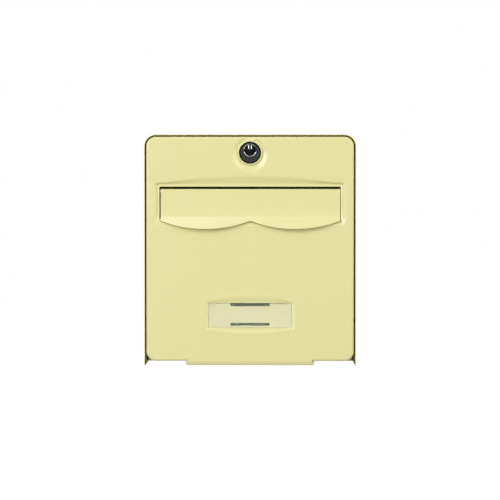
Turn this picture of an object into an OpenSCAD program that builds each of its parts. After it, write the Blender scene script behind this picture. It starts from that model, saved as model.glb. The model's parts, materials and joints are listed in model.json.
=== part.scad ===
// Wall-mounted letterbox in folded and pressed sheet steel.
// One sheet makes the roof and both sides, and stands on its two lower edges.  The floor, the back and the
// frame that the door closes on are welded inside it.  The pressed door drops forward on a knuckle rolled
// at its lower edge, and carries the letter flap, the name plate and a quarter-turn cam lock.
// Units are millimetres.  The front faces -Y, the wall is the plane y = 0, +Z is up, and the origin is the
// centre of the four wall holes.

/* [Casing] */
// Overall width of the casing
body_w = 285; // [275:1:300]
// Overall height of the casing
body_h = 311; // [305:1:330]
// Depth of the casing, from the wall to its front rim
body_d = 360; // [250:5:420]
// Thickness of the sheet steel
sheet = 1; // [0.8:0.1:1.1]
// Outside radius of the two upper corners
corner_r = 16; // [15:1:20]

/* [Door] */
// Gap between the door and the casing
door_gap = 2; // [1.5:0.1:2.5]
// How far the door's face stands in front of the casing's rim
door_proud = 1.5; // [0:0.25:3]
// Depth of the door's folded edges
door_depth = 18; // [16:0.5:20]
// Outside radius of the fold round the door's face
door_edge_r = 3; // [2.5:0.25:4]
// Height of the door's lower edge above the foot of the casing
door_lift = 6.5; // [6.5:0.1:8]
// Length of the rolled hinge knuckle
knuckle_l = 167; // [120:1:180]
// Diameter of the hinge pin
pin_d = 3; // [2.5:0.1:3]

/* [Letter flap] */
// Width of the letter slot
slot_w = 243.4; // [232:0.2:246]
// Height of the slot's upper edge above the door's lower edge
slot_top = 234.3; // [230:0.1:236]
// Gap between the slot's upper edge and the flap
flap_gap = 2.9; // [2:0.1:4]
// Height of the flap's flat face
flap_h = 36.7; // [34:0.1:38]
// How far the two lobes of the lip hang below the flat face
lip_h = 17.2; // [15:0.1:18]
// How far the ends of the lip hang below the flat face
lip_end_h = 6.2; // [5:0.1:8]
// Angle of the lip from the vertical
lip_angle = 40; // [36:1:44]
// Depth of the pressed recess round the flap
flap_recess_d = 3; // [2.5:0.1:3.5]

/* [Lock] */
// Height of the lock's face centre below the door's upper edge
lock_down = 21.5; // [21.2:0.1:24]
// Diameter of the black lock face
lock_face_d = 29.3; // [27:0.1:31]
// Outside diameter of the collar round the lock
collar_d = 35.6; // [34:0.1:36]
// How far the lock's core stands above the centre of its face
core_up = 3.4; // [2:0.1:4]

/* [Name plate] */
// Width of the name plate's pocket
plate_w = 112; // [100:1:120]
// Height of the name plate's pocket
plate_h = 33.8; // [30:0.2:36]
// Height of the pocket's centre above the door's lower edge
plate_up = 61.3; // [55:0.1:70]

/* [Fixings] */
// Distance between the wall holes across the back
wall_pitch_x = 200; // [120:5:220]
// Distance between the wall holes up the back
wall_pitch_z = 200; // [120:5:220]
// Diameter of the wall holes
wall_hole_d = 8; // [6:0.5:10]
// Distance between the floor slots across the box
floor_pitch_x = 150; // [100:5:180]
// Distance between the floor slots from front to back
floor_pitch_y = 200; // [100:5:200]
// Width of the floor slots
floor_slot_w = 8; // [6:0.5:10]
// Length of the floor slots
floor_slot_l = 18; // [14:1:24]

/* [Hidden] */
$fn = 96;

// Colours
cream = [0.90, 0.88, 0.65];
steel = [0.72, 0.73, 0.74];
black = [0.08, 0.08, 0.08];
rubber = [0.15, 0.15, 0.15];
clear = [0.85, 0.90, 0.88, 0.4];

// Clearances and small sizes
fold_gap = 0.1;      // between sheets that lie against each other
run_gap = 0.05;      // round a pin in its knuckle
fold_r = 1.6;        // outside radius of the folds in the casing's inner parts
press_t = 0.8;       // metal beside a steep pressed wall
arc_steps = 16;      // straight pieces in each half of a pressed arc

// Casing
rim_y = -body_d;
inner_w = body_w - 2 * sheet;
foot_z = -body_h / 2;
roof_z = body_h / 2 - sheet;
lining_w = inner_w - 2 * fold_gap;
lining_top = roof_z - fold_gap;
lining_r = corner_r - sheet - fold_gap;
back_flange = 12;

// Door
face_y = rim_y - door_proud;
door_back_y = face_y + door_depth;
door_w = inner_w - 2 * door_gap;
door_low = foot_z + door_lift;
door_top = roof_z - door_gap;
door_r = corner_r - sheet - door_gap;
floor_top = door_low - 0.5;
buffer_t = 2.9;
buffer_r = 4;
rebate_y = door_back_y + buffer_t + fold_gap;
rebate_w = 11;
rebate_leg = 14;
rebate_in_w = lining_w - 2 * rebate_w;
rebate_in_r = lining_r - rebate_w;
sill_top = floor_top + rebate_w;

// Hinge along the foot of the door
pin_r = pin_d / 2;
knuckle_r = pin_r + run_gap + sheet;
hinge_y = face_y + knuckle_r;
hinge_z = door_low - 3.15;
knuckle_x = knuckle_l / 2;
relief_w = 0.8;
bracket_t = 1.5;
ear_r = 2.8;
ear_x = knuckle_x + 0.3;
ear_out_x = ear_x + bracket_t;
bracket_top = floor_top - sheet - fold_gap;
bracket_y = rebate_y + 3;
bracket_d = 26;
cap_t = 1.2;
cap_r = 2.4;

// Letter flap
slot_z = door_low + slot_top;
flap_w = slot_w - 2.4;
flap_shift = 0.4;        // the flap sits a little to one side on its rod
flap_y = face_y + flap_recess_d;
rod_r = 1.5;
rod_neck_r = 1.1;
roll_r = rod_r + run_gap + sheet;
flap_top = slot_z - flap_gap;
rod_y = flap_y + roll_r;
rod_z = flap_top - roll_r;
bend_z = flap_top - flap_h;
lip_bend_r = 1;
lip_back_r = lip_bend_r + sheet;
lip_clear = 1;
slot_low = bend_z - (lip_back_r - lip_bend_r * cos(lip_angle) + lip_clear) / sin(lip_angle);
recess_w = slot_w + 4;
recess_side = 5.5;
recess_chord_z = slot_z + 3.4;
recess_rise = 12.5;
recess_low = slot_low - 9;
cheek_d = 12;
cusp_r = 7;

// Lock
lock_z = door_top - lock_down;
core_z = lock_z + core_up;
dish_d = 2;
dish_r = 21.8;
dish_drop = 3.5;
seat_y = face_y + dish_d;
seat_r = collar_d / 2 + 0.3;
barrel_r = 9.4;
barrel_flat = 8;
barrel_end_y = rebate_y - 0.8;
lock_face_r = lock_face_d / 2;
lock_front_y = seat_y - 3.4;
lock_back_y = seat_y - 1;
core_front_y = lock_front_y + 0.3;
core_r = 5.95;
head_r = 7.6;
head_back_y = lock_back_y + 0.6;
bead_r = 0.45;
keyway_w = 2.4;
keyway_d = 12;
guard_r = 0.6;
guard_x = keyway_w / 2 + guard_r + 0.05;
guard_low = 1.4;
guard_foot_r = 0.85;
clip_t = 1.2;
clip_y = seat_y + sheet + 0.1;
groove_depth = 1;
cam_t = 2;
cam_y = rebate_y + sheet + 0.6;
cam_reach = 16.2;
cam_w = 14;
drive_w = 7;
washer_t = 0.8;
screw_r = 2;
screw_l = 9;

// Name plate
plate_z = door_low + plate_up;
plate_ramp_d = 1.2;
plate_d = 3.5;
plate_side = 5;
rim_h = 0.3;
clip_l = 52.6;
clip_h = [4, 3.6];
clip_gap = 0.35;
clip_z = [plate_z + plate_h / 2 - 2.5, plate_z - plate_h / 2 + 5];
cover_t = 1.8;

// ---------------------------------------------------------------- helpers

// An outline drawn in x and z, carried from y0 back to y1
module along_y(y0, y1) {
    translate([0, y1, 0]) rotate([90, 0, 0]) linear_extrude(y1 - y0) children();
}

// An outline drawn in y and z, carried from x0 to x1
module along_x(x0, x1) {
    translate([x0, 0, 0]) rotate([90, 0, 90]) linear_extrude(x1 - x0) children();
}

// A shape and its mirror image on the other side of the middle
module both_sides() {
    children();
    mirror([1, 0, 0]) children();
}

// A round bar or hole along x
module bar_x(x0, x1, r) {
    translate([x0, 0, 0]) rotate([0, 90, 0]) cylinder(h = x1 - x0, r = r);
}

// A round bar or hole along y
module bar_y(y0, y1, r) {
    translate([0, y0, 0]) rotate([-90, 0, 0]) cylinder(h = y1 - y0, r = r);
}

// A solid of revolution about an axis along y; its profile has the radius first and then the y
module turned_y() {
    rotate([-90, 0, 0]) rotate_extrude() children();
}

// Upright rectangle whose upper corners have radius r_top and lower corners r_low
module panel_outline(w, z0, z1, r_top, r_low) {
    translate([-w / 2, z0 + r_low]) square([w, z1 - z0 - r_top - r_low]);
    translate([-w / 2 + r_top, z1 - r_top]) square([w - 2 * r_top, r_top]);
    for (s = [-1, 1]) translate([s * (w / 2 - r_top), z1 - r_top]) circle(r_top);
    if (r_low > 0) {
        translate([-w / 2 + r_low, z0]) square([w - 2 * r_low, r_low]);
        for (s = [-1, 1]) translate([s * (w / 2 - r_low), z0 + r_low]) circle(r_low);
    }
}

// Rectangle whose lower and upper edges swell into arcs, by low and by top
module lens_outline(w, z0, z1, low, top) {
    polygon(concat(
        [for (i = [-arc_steps : arc_steps]) let (t = i / arc_steps) [w / 2 * t, z1 + top * (1 - t * t)]],
        [for (i = [-arc_steps : arc_steps]) let (t = i / arc_steps) [-w / 2 * t, z0 - low * (1 - t * t)]]
    ));
}

// Slot with round ends, lying along x and centred
module slot_outline(l, w) {
    square([l - w, w], center = true);
    for (s = [-1, 1]) translate([s * (l - w) / 2, 0]) circle(w / 2);
}

// A pressed form whose outline shrinks from its first child, at y0, to its second child, at y1
module ramped(y0, y1) {
    hull() {
        along_y(y0 - 0.5, y0) children(0);
        along_y(y1 - 0.01, y1) children(1);
    }
}

// A quarter of a bent sheet of outside radius e: it comes along the first axis and leaves along the second
module bend(e) {
    intersection() {
        translate([0, e]) difference() {
            circle(e);
            circle(e - sheet);
        }
        square([e, e]);
    }
}

// The folded edge of a pan: the bend, and the flange that goes back from it
module folded_edge(e, depth) {
    bend(e);
    translate([e - sheet, e]) square([sheet, depth - e]);
}

// The folded edge turned round a corner of radius r
module pan_corner(r, e, depth) {
    rotate([-90, 0, 0]) rotate([0, 0, -90]) rotate_extrude(angle = 90)
        translate([r - e, 0]) folded_edge(e, depth);
}

// A pressed pan that faces -y at y = 0, with a folded edge all the way round
module pan(w, z0, z1, r_top, r_low, e, depth) {
    along_y(0, sheet) panel_outline(w - 2 * e, z0 + e, z1 - e, r_top - e, r_low - e);
    both_sides() {
        translate([w / 2 - e, 0, z0 + r_low]) linear_extrude(z1 - z0 - r_top - r_low) folded_edge(e, depth);
        translate([w / 2 - r_top, 0, z1 - r_top]) pan_corner(r_top, e, depth);
        translate([w / 2 - r_low, 0, z0 + r_low]) mirror([0, 0, 1]) pan_corner(r_low, e, depth);
    }
    translate([0, 0, z1 - e]) along_x(-w / 2 + r_top, w / 2 - r_top)
        mirror([1, -1, 0]) folded_edge(e, depth);
    translate([0, 0, z0 + e]) mirror([0, 0, 1]) along_x(-w / 2 + r_low, w / 2 - r_low)
        mirror([1, -1, 0]) folded_edge(e, depth);
}

// ---------------------------------------------------------------- casing

// The sheet that makes both sides and the roof
module casing_wrap() {
    color(cream) along_y(rim_y, 0) difference() {
        panel_outline(body_w, foot_z, body_h / 2, corner_r, 0);
        panel_outline(inner_w, foot_z - 1, roof_z, corner_r - sheet, 0);
    }
}

// Floor with its sides folded down against the walls, its front folded up as a sill, slots and drain holes
module floor_pan() {
    half = lining_w / 2;
    y0 = rebate_y + fold_r;
    y1 = -sheet - fold_gap;
    side_h = floor_top - foot_z - 1.5;
    color(cream) difference() {
        union() {
            translate([-half + fold_r, y0, floor_top - sheet]) cube([2 * (half - fold_r), y1 - y0, sheet]);
            both_sides() translate([0, 0, floor_top]) along_y(y0 + 2, y1 - 2)
                translate([half - fold_r, 0]) mirror([0, 1, 0]) folded_edge(fold_r, side_h);
            translate([0, y0, floor_top - sheet]) along_x(-half + fold_r + 2, half - fold_r - 2)
                mirror([1, 0, 0]) folded_edge(fold_r, rebate_w + sheet);
        }
        for (x = [-0.5, 0.5], y = [-0.5, 0.5])
            translate([x * floor_pitch_x, -body_d / 2 + y * floor_pitch_y, floor_top - 2 * sheet])
                linear_extrude(3 * sheet) slot_outline(floor_slot_l, floor_slot_w);
        for (s = [-1, 1], y = [rebate_y + 20, -20])
            translate([s * 120, y, floor_top - 2 * sheet]) cylinder(h = 3 * sheet, r = 2.5);
    }
}

// Back with its edges folded forward against the walls and roof, and four wall holes
module back_panel() {
    color(cream) difference() {
        mirror([0, 1, 0]) pan(lining_w, foot_z + 0.5, lining_top, lining_r, 2, fold_r, back_flange);
        translate([-body_w / 2, -body_d, foot_z])
            cube([body_w, body_d - sheet, floor_top + fold_gap - foot_z]);
        for (x = [-0.5, 0.5], z = [-0.5, 0.5])
            translate([x * wall_pitch_x, 0, z * wall_pitch_z]) bar_y(-2 * sheet, sheet, wall_hole_d / 2);
    }
}

// Angle frame round the sides and roof that the door closes on, and that the lock's cam turns up behind
module rebate_frame() {
    color(cream) translate([0, rebate_y, 0]) difference() {
        pan(lining_w, foot_z, lining_top, lining_r, 3, fold_r, rebate_leg);
        along_y(-1, 2 * sheet)
            panel_outline(rebate_in_w, foot_z - 1, lining_top - rebate_w, rebate_in_r, 0);
        translate([-body_w / 2, -1, foot_z - 1])
            cube([body_w, rebate_leg + 2, floor_top + fold_gap - foot_z + 1]);
        translate([-lining_w / 2 + fold_r, -1, foot_z - 1])
            cube([lining_w - 2 * fold_r, rebate_leg + 2, sill_top + fold_gap - foot_z + 1]);
    }
}

// Rubber buffers on the frame, behind the door's folded edges
module door_buffers() {
    x = door_w / 2 - 2;
    color(rubber) for (s = [-1, 1], z = [-95, 95])
        translate([s * x, 0, z]) turned_y() polygon([
            [0, rebate_y], [buffer_r, rebate_y], [buffer_r, rebate_y - 2],
            [buffer_r - 0.9, rebate_y - buffer_t], [0, rebate_y - buffer_t]
        ]);
}

// Strip under the floor whose ends turn down and reach forward to hold the hinge pin
module hinge_bracket() {
    neck_h = bracket_top - hinge_z;
    color(cream) {
        translate([-ear_x, bracket_y, bracket_top - bracket_t]) cube([2 * ear_x, bracket_d, bracket_t]);
        both_sides() difference() {
            along_x(ear_x, ear_out_x) {
                translate([hinge_y, hinge_z]) circle(ear_r);
                translate([hinge_y - ear_r + 0.3, hinge_z - ear_r]) square([ear_r - 0.3, ear_r]);
                translate([hinge_y, hinge_z - ear_r])
                    square([bracket_y + bracket_d - hinge_y, ear_r + neck_h]);
            }
            translate([0, hinge_y, hinge_z]) bar_x(0, body_w / 2, pin_r + run_gap);
        }
    }
}

// Rod through the ears and the door's knuckle
module hinge_pin() {
    end_x = ear_out_x + 0.1 + cap_t;
    color(steel) translate([0, hinge_y, hinge_z]) bar_x(-end_x, end_x, pin_r);
}

// Push-on caps on the ends of the hinge pin
module hinge_pin_caps() {
    color(steel) both_sides() translate([ear_out_x + 0.1, hinge_y, hinge_z]) difference() {
        bar_x(0, cap_t, cap_r);
        bar_x(-1, cap_t + 1, pin_r);
    }
}

// ---------------------------------------------------------------- door

// Sheet that rolls round a pin at the origin, with its face at -r and its plate going up or down by h
module rolled_profile(r, h) {
    difference() {
        circle(r);
        circle(r - sheet);
    }
    translate([-r, min(h, 0)]) square([sheet, abs(h)]);
}

// The door's pan, with the middle of its lower edge rolled into the hinge knuckle
module door_shell() {
    roll_top = door_low + door_edge_r + 0.5;
    difference() {
        translate([0, face_y, 0])
            pan(door_w, door_low, door_top, door_r, door_r, door_edge_r, door_depth);
        translate([-knuckle_x - relief_w, face_y - 1, door_low - 1])
            cube([2 * (knuckle_x + relief_w), door_depth + 2, roll_top - door_low + 1]);
    }
    translate([0, hinge_y, hinge_z]) along_x(-knuckle_x, knuckle_x)
        rolled_profile(knuckle_r, roll_top - hinge_z);
}

// Outlines of the recess round the letter flap, at the door's face and at its floor
module flap_recess_face(grow = 0) {
    lens_outline(recess_w + 2 * recess_side + 2 * grow, recess_low - grow, recess_chord_z + grow,
        0, recess_rise);
}

module flap_recess_floor(grow = 0) {
    lens_outline(recess_w + 2 * grow, slot_low - 1 - grow, recess_chord_z + grow, 0, 0);
}

// Outlines of the raised rim, the ramp and the pocket of the name plate
module plate_rim_outer() {
    lens_outline(plate_w + 22, plate_z - plate_h / 2, plate_z + plate_h / 2, 17, 17.5);
}

module plate_rim_inner(grow = 0) {
    lens_outline(plate_w + 2 * plate_side + 2 * grow, plate_z - plate_h / 2 - grow,
        plate_z + plate_h / 2 + grow, 8.5, 10);
}

module plate_floor(grow = 0) {
    lens_outline(plate_w + 2 + 2 * grow, plate_z - plate_h / 2 - 1 - grow,
        plate_z + plate_h / 2 + 1 + grow, 0, 0);
}

module plate_pocket(grow = 0) {
    panel_outline(plate_w + 2 * grow, plate_z - plate_h / 2 - grow, plate_z + plate_h / 2 + grow,
        1.5 + grow, 1.5 + grow);
}

// Outlines of the dish round the lock
module dish_face(grow = 0) {
    translate([0, lock_z - dish_drop]) circle(dish_r + grow, $fn = 64);
}

module dish_floor(grow = 0) {
    translate([0, lock_z]) circle(seat_r + grow, $fn = 64);
}

// Metal behind the pressed forms
module door_backing() {
    back_y = face_y + sheet - 0.02;
    ramped(back_y, flap_y + sheet) {
        flap_recess_face(0.3);
        flap_recess_floor(0.5);
    }
    ramped(back_y, face_y + plate_ramp_d + sheet) {
        plate_rim_inner(0.3);
        plate_floor(0.5);
    }
    ramped(back_y, seat_y + sheet) {
        dish_face();
        dish_floor(0.3);
    }
    along_y(face_y + sheet, face_y + plate_d + sheet) plate_pocket(press_t);
    along_y(face_y + sheet, flap_y + cheek_d) difference() {
        panel_outline(slot_w + 2 * sheet, slot_low - sheet, slot_z + sheet, 1, 1);
        translate([-slot_w / 2, slot_low]) square([slot_w, slot_z - slot_low]);
    }
}

// Hollows of the pressed forms, seen from the front
module door_hollows() {
    ramped(face_y, flap_y) {
        flap_recess_face();
        flap_recess_floor();
    }
    ramped(face_y - rim_h, face_y + plate_ramp_d) {
        plate_rim_inner();
        plate_floor();
    }
    ramped(face_y, seat_y) {
        dish_face();
        dish_floor();
    }
    along_y(face_y, face_y + plate_d) plate_pocket();
}

// Flats and round of the lock's barrel
module barrel_outline(gap) {
    intersection() {
        circle(barrel_r + gap);
        square([2 * (barrel_flat + gap), 4 * barrel_r], center = true);
    }
}

// Pressed door with the letter slot, the lock's hole and seat, and the name plate's pocket
module door_panel() {
    color(cream) difference() {
        union() {
            door_shell();
            door_backing();
            hull() {
                along_y(face_y - rim_h, face_y) plate_rim_inner();
                along_y(face_y, face_y + 0.1) plate_rim_outer();
            }
        }
        door_hollows();
        along_y(face_y - 1, flap_y + 2 * sheet) translate([-slot_w / 2, slot_low])
            square([slot_w, slot_z - slot_low]);
        for (i = [0, 1]) along_y(face_y, face_y + 3 * plate_d) translate([0, clip_z[i]])
            square([clip_l, clip_h[i]], center = true);
        along_y(face_y, seat_y + 3 * sheet) translate([0, core_z]) barrel_outline(0.1);
        translate([0, rod_y, rod_z]) bar_x(-slot_w, slot_w, rod_neck_r + run_gap);
    }
}

// Rod that the flap hangs on, riveted into the sides of the letter slot
module flap_rod() {
    in_x = slot_w / 2 - 0.1;
    out_x = slot_w / 2 + sheet + 0.1;
    color(steel) translate([0, rod_y, rod_z]) {
        bar_x(-in_x, in_x, rod_r);
        bar_x(-out_x, out_x, rod_neck_r);
        both_sides() bar_x(out_x, out_x + 0.8, rod_r - 0.1);
    }
}

// Rubber strips on the slot's lower edge that the flap closes on
module flap_buffers() {
    color(rubber) for (s = [-1, 1]) along_x(s * 85 - 8, s * 85 + 8) difference() {
        translate([flap_y - 0.5, slot_low - 1]) square([6, 1.5]);
        translate([flap_y, slot_low - 2]) square([6, 2]);
    }
}

// Painted collar that the lock's face sits in
module lock_collar() {
    r = collar_d / 2;
    edge_r = 1;
    front = seat_y - 2.6;
    color(cream) translate([0, 0, lock_z]) difference() {
        turned_y() {
            translate([0, front + edge_r]) square([r, seat_y - front - edge_r]);
            translate([0, front]) square([r - edge_r, edge_r]);
            translate([r - edge_r, front + edge_r]) circle(edge_r);
        }
        bar_y(front - 1, lock_back_y, lock_face_r + 0.15);
        translate([0, 0, core_up]) bar_y(front - 1, seat_y + 1, barrel_r + 0.15);
    }
}

// Black face of the lock with a bead round the core, and the barrel behind it, bored and grooved
module lock_housing() {
    edge_r = 0.8;
    rim_w = 1.6;
    field_y = lock_front_y + 0.5;
    color(black) difference() {
        union() {
            translate([0, 0, lock_z]) turned_y() {
                translate([0, field_y]) square([lock_face_r - edge_r, lock_back_y - field_y]);
                translate([lock_face_r - rim_w, lock_front_y]) square([rim_w - edge_r, 1]);
                translate([lock_face_r - edge_r, lock_front_y + edge_r]) circle(edge_r);
                translate([lock_face_r - edge_r, lock_front_y + edge_r])
                    square([edge_r, lock_back_y - lock_front_y - edge_r]);
            }
            translate([0, 0, core_z]) {
                turned_y() translate([head_r + run_gap + bead_r + 0.1, field_y]) circle(bead_r);
                along_y(lock_back_y - 0.5, barrel_end_y) barrel_outline(0);
            }
        }
        translate([0, 0, core_z]) {
            bar_y(lock_front_y - 1, head_back_y, head_r + run_gap);
            bar_y(lock_front_y, barrel_end_y + 1, core_r + run_gap);
            along_y(clip_y, clip_y + clip_t + 0.1) difference() {
                square(4 * barrel_r, center = true);
                square([2 * (barrel_flat - groove_depth), 4 * barrel_r], center = true);
            }
        }
    }
}

// Forked clip that slides into the barrel's grooves behind the door
module lock_clip() {
    slot_half = barrel_flat - groove_depth + 0.1;
    color(steel) along_y(clip_y + 0.05, clip_y + 0.05 + clip_t) difference() {
        panel_outline(26, core_z - 12, core_z + 12.5, 2, 2);
        translate([-slot_half, core_z - 13]) square([2 * slot_half, 13 + barrel_r + 0.2]);
    }
}

// Clear cover in the name plate's pocket, held by two barbed tongues through the slots
module name_plate_cover() {
    back_y = face_y + plate_d;
    color(clear) {
        along_y(back_y - cover_t, back_y) panel_outline(plate_w - 1.2, plate_z - plate_h / 2 + 0.6,
            plate_z + plate_h / 2 - 0.6, 1.2, 1.2);
        for (i = [0, 1]) translate([-clip_l / 2 + clip_gap, 0, clip_z[i]]) {
            tongue_h = clip_h[i] - 2 * clip_gap;
            translate([0, back_y - 0.1, -tongue_h / 2]) cube([clip_l - 2 * clip_gap, sheet + 2, tongue_h]);
            translate([0, back_y + sheet + 0.2, i == 0 ? -tongue_h / 2 : -tongue_h / 2 - 1.2])
                cube([clip_l - 2 * clip_gap, 1.7, tongue_h + 1.2]);
        }
    }
}

// ---------------------------------------------------------------- letter flap

// What is trimmed off the lip, in its own plane below the fold, to leave two round lobes and the notch
module lip_trim() {
    half = flap_w / 4;
    lobe = (lip_h - lip_back_r * sin(lip_angle)) / cos(lip_angle);
    rise = (lip_h - lip_end_h) / cos(lip_angle);
    r = (half * half + rise * rise) / (2 * rise);
    notch_y = r - lobe - sqrt(pow(r + cusp_r - 0.05, 2) - half * half);
    notch_x = half * cusp_r / (r + cusp_r);
    difference() {
        translate([-flap_w / 2 - 1, -lobe - 2]) square([flap_w + 2, lobe + 1.5]);
        for (s = [-1, 1]) translate([s * half, r - lobe]) circle(r, $fn = 360);
        translate([-notch_x, notch_y]) square([2 * notch_x, -notch_y]);
    }
    translate([0, notch_y]) circle(cusp_r);
}

// Flap rolled round its rod at the top, with the two-lobed lip bent out along its lower edge
module letter_flap() {
    color(cream) translate([flap_shift, 0, 0]) difference() {
        along_x(-flap_w / 2, flap_w / 2) {
            translate([rod_y, rod_z]) rolled_profile(roll_r, bend_z - rod_z);
            translate([flap_y - lip_bend_r, bend_z]) {
                difference() {
                    circle(lip_back_r);
                    circle(lip_bend_r);
                    translate([-5, 0]) square([10, 5]);
                    rotate(-lip_angle) translate([-5, -5]) square([10, 5]);
                }
                rotate(-lip_angle) translate([lip_bend_r, -lip_h / cos(lip_angle)])
                    square([sheet, lip_h / cos(lip_angle)]);
            }
        }
        translate([0, flap_y - lip_bend_r, bend_z]) rotate([-lip_angle, 0, 0])
            along_y(lip_bend_r - 1, lip_back_r + 1) lip_trim();
    }
}

// ---------------------------------------------------------------- lock core

// Core that the key turns, with a guard down each side of the keyway, flats for the cam and a screw bore
module lock_core() {
    color(steel) translate([0, 0, core_z]) difference() {
        union() {
            bar_y(core_front_y, head_back_y - run_gap, head_r);
            bar_y(head_back_y - 0.5, cam_y, core_r);
            along_y(cam_y - 1, cam_y + cam_t - 0.1) drive_outline(0);
            for (s = [-1, 1]) {
                translate([s * guard_x, core_front_y, guard_low])
                    cylinder(h = head_r - 0.8 - guard_low, r = guard_r);
                translate([s * guard_x, 0, guard_low + guard_foot_r])
                    bar_y(core_front_y - guard_foot_r, core_front_y + 1, guard_foot_r);
            }
        }
        translate([-keyway_w / 2, core_front_y - 1, -1]) cube([keyway_w, keyway_d + 1, head_r - 0.8]);
        bar_y(cam_y - screw_l, cam_y + cam_t + 1, screw_r + 0.02);
    }
}

// Round with two flats that drives the cam
module drive_outline(gap) {
    intersection() {
        circle(core_r + gap);
        square([4 * core_r, drive_w + 2 * gap], center = true);
    }
}

// Cam: at rest it lies to the side, and a quarter turn brings it up behind the frame's top rail
module lock_cam() {
    tip_r = 2;
    tip_h = 10;
    color(steel) translate([0, 0, core_z]) along_y(cam_y, cam_y + cam_t) difference() {
        union() {
            circle(cam_w / 2);
            translate([-cam_reach + tip_r, -tip_h / 2]) square([cam_reach - tip_r, tip_h]);
            translate([-cam_reach, -tip_h / 2 + tip_r]) square([tip_r, tip_h - 2 * tip_r]);
            for (s = [-1, 1]) translate([-cam_reach + tip_r, s * (tip_h / 2 - tip_r)]) circle(tip_r);
        }
        drive_outline(0.05);
    }
}

// Washer under the head of the cam's screw
module cam_washer() {
    color(steel) translate([0, 0, core_z]) difference() {
        bar_y(cam_y + cam_t, cam_y + cam_t + washer_t, 5.5);
        bar_y(cam_y, cam_y + cam_t + 2, screw_r + 0.1);
    }
}

// Screw that holds the cam on the core
module cam_screw() {
    head_y = cam_y + cam_t + washer_t;
    color(steel) translate([0, 0, core_z]) difference() {
        union() {
            bar_y(cam_y - screw_l + 1, head_y + 0.5, screw_r);
            bar_y(head_y, head_y + 2.2, 3.8);
        }
        translate([-4, head_y + 1.2, -0.5]) cube([8, 2, 1]);
    }
}

// ---------------------------------------------------------------- assembly

casing_wrap();
floor_pan();
back_panel();
rebate_frame();
door_buffers();
hinge_bracket();
hinge_pin();
hinge_pin_caps();
door_panel();
flap_rod();
flap_buffers();
lock_collar();
lock_housing();
lock_clip();
name_plate_cover();
letter_flap();
lock_core();
lock_cam();
cam_washer();
cam_screw();
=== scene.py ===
import bpy
import bmesh
import json
import math
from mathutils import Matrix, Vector

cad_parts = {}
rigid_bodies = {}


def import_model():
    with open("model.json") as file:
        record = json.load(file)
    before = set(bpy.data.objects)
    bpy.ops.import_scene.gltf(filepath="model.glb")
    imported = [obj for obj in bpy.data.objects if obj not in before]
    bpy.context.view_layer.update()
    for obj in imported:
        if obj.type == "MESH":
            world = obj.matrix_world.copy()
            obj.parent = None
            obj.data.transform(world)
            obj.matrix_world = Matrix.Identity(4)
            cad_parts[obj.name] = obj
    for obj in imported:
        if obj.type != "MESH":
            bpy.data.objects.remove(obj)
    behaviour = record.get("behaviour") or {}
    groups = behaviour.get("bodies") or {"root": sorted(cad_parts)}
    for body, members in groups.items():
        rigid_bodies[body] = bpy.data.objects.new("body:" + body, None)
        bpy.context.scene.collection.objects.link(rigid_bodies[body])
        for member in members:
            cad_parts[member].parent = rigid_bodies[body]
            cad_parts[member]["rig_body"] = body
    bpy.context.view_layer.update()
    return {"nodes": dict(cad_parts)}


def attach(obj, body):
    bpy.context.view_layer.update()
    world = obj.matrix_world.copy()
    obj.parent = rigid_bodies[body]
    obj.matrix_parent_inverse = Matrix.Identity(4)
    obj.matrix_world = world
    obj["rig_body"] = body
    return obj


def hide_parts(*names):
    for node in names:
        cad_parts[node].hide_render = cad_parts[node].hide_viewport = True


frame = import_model()
scene = bpy.context.scene
scene.view_settings.view_transform = "Standard"
mm = 0.001  # shapes are described in mm and scaled once they are done


def toLinear(red, green, blue):
    # a colour as it is read off a paint card, 0 to 255, to the values a shader takes
    def one(value):
        value = value / 255
        return value / 12.92 if value <= 0.04045 else ((value + 0.055) / 1.055) ** 2.4
    return (one(red), one(green), one(blue), 1.0)


def clamp(value, low=0.0, high=1.0):
    return max(low, min(high, value))


def pressProfile(share, softStart, softEnd):
    # how far down a pressed ramp is at a share of its width: a straight slope with a rounded start and end
    share = clamp(share)
    slope = 1 / (1 - softStart / 2 - softEnd / 2)
    if share < softStart:
        return slope * share * share / (2 * softStart)
    if share > 1 - softEnd:
        left = 1 - share
        return 1 - slope * left * left / (2 * softEnd)
    return slope * (share - softStart / 2)


def blendedLow(first, second, reach):
    # the lower of two values, with a smooth change from one to the other
    share = clamp(0.5 + 0.5 * (second - first) / reach)
    return second + (first - second) * share - reach * share * (1 - share)


# shader groups that the finishes share

def newGroup(name, inputs, outputs):
    group = bpy.data.node_groups.new(name, "ShaderNodeTree")
    for label, kind, value in inputs:
        socket = group.interface.new_socket(name=label, in_out="INPUT", socket_type="NodeSocket" + kind)
        socket.default_value = value
    for label, kind in outputs:
        group.interface.new_socket(name=label, in_out="OUTPUT", socket_type="NodeSocket" + kind)
    return group, group.nodes.new("NodeGroupInput"), group.nodes.new("NodeGroupOutput")


def addMath(tree, operation, first, second):
    node = tree.nodes.new("ShaderNodeMath")
    node.operation = operation
    for socket, value in zip(node.inputs, (first, second)):
        if isinstance(value, (int, float)):
            socket.default_value = value
        else:
            tree.links.new(value, socket)
    return node.outputs[0]


def addMix(tree, share, first, second):
    node = tree.nodes.new("ShaderNodeMix")
    node.data_type = "RGBA"
    colourSockets = (node.inputs[0], node.inputs[6], node.inputs[7])  # the factor and the two colours
    for socket, value in zip(colourSockets, (share, first, second)):
        if isinstance(value, (int, float, tuple)):
            socket.default_value = value
        else:
            tree.links.new(value, socket)
    return node.outputs[2]


def addRange(tree, value, low, high, outLow=0.0, outHigh=1.0):
    node = tree.nodes.new("ShaderNodeMapRange")
    node.interpolation_type = "SMOOTHSTEP"
    node.inputs["From Min"].default_value = low
    node.inputs["From Max"].default_value = high
    node.inputs["To Min"].default_value = outLow
    node.inputs["To Max"].default_value = outHigh
    tree.links.new(value, node.inputs["Value"])
    return node.outputs["Result"]


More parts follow.
